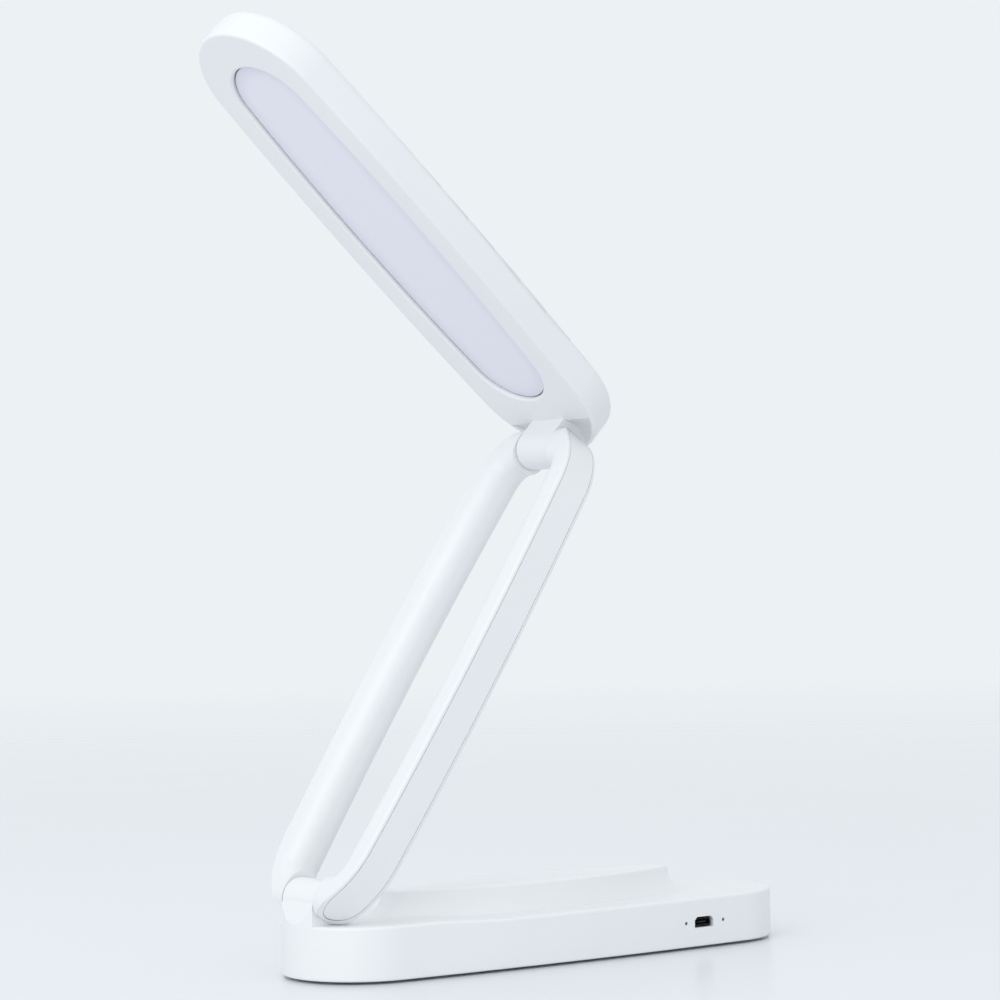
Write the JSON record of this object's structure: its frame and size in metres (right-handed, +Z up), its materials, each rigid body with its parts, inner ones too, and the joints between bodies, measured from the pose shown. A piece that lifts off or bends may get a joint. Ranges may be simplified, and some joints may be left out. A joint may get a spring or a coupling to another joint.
{
  "type": "folding desk lamp",
  "caption": "White cordless desk lamp that folds flat: oval base with a raised middle, looped two-bar arm and oval light head, hinged at both ends of the arm.",
  "frame": {"origin": "middle of the underside of the anti-slip pad, on the table", "axes": "+X along the base from its hinge end to its free end, +Y across it away from the charging socket, +Z up"},
  "size_m": [0.2365, 0.0634, 0.338],
  "materials": {
    "arm_bars": "satin moulded white",
    "ballast": "blackened plate",
    "base_housing": "satin moulded white",
    "battery": "sleeved cell",
    "board_parts": "moulded",
    "circuit_board": "lacquered",
    "clear_guide": "clear plastic plate",
    "clear_pipe": "clear plastic",
    "copper": "foil",
    "cover_strips": "satin moulded white",
    "diffuser": "opal, faintly lilac",
    "fastener_steel": "zinc plated",
    "head_housing": "satin moulded white",
    "hinge_steel": "turned",
    "lead": "white insulation",
    "led_lens": "yellow phosphor",
    "pad": "matt grey",
    "reflector": "white film",
    "socket_metal": "tin plated",
    "spring_steel": "drawn wire",
    "washer": "waxy"
  },
  "bodies": {
    "base": {"base_shell": "base_housing", "base_cover": "base_housing", "base_pad": "pad", "cover_screws": "fastener_steel", "battery_cell": "battery", "ballast_plate": "ballast", "charge_board": "circuit_board", "usb_socket": "socket_metal", "board_parts": "board_parts", "light_pipes": "clear_pipe", "touch_foil": "copper", "touch_leaf": "spring_steel"},
    "arm": {"lower_spindle": "hinge_steel", "upper_spindle": "hinge_steel", "lower_hinge_screws": "fastener_steel", "upper_hinge_screws": "fastener_steel", "lower_washers": "washer", "upper_washers": "washer", "arm_bar_near": "arm_bars", "arm_bar_far": "arm_bars", "cover_strip_near": "cover_strips", "cover_strip_far": "cover_strips", "arm_lead": "lead"},
    "head": {"head_shell": "head_housing", "head_back_cover": "head_housing", "diffuser": "diffuser", "light_guide": "clear_guide", "reflector": "reflector", "led_strips": "circuit_board", "leds": "led_lens"}
  },
  "joints": [
    {"name": "lower_hinge", "type": "hinge", "parent": "base", "child": "arm", "pos_m": [-0.0954, 0, 0.0278], "axis": [0, 1, 0], "range_deg": [-23.4, 51.6]},
    {"name": "upper_hinge", "type": "hinge", "parent": "arm", "child": "head", "pos_m": [0.00974, 0, 0.18726], "axis": [0, 1, 0], "range_deg": [-99.3, 80.7]}
  ]
}
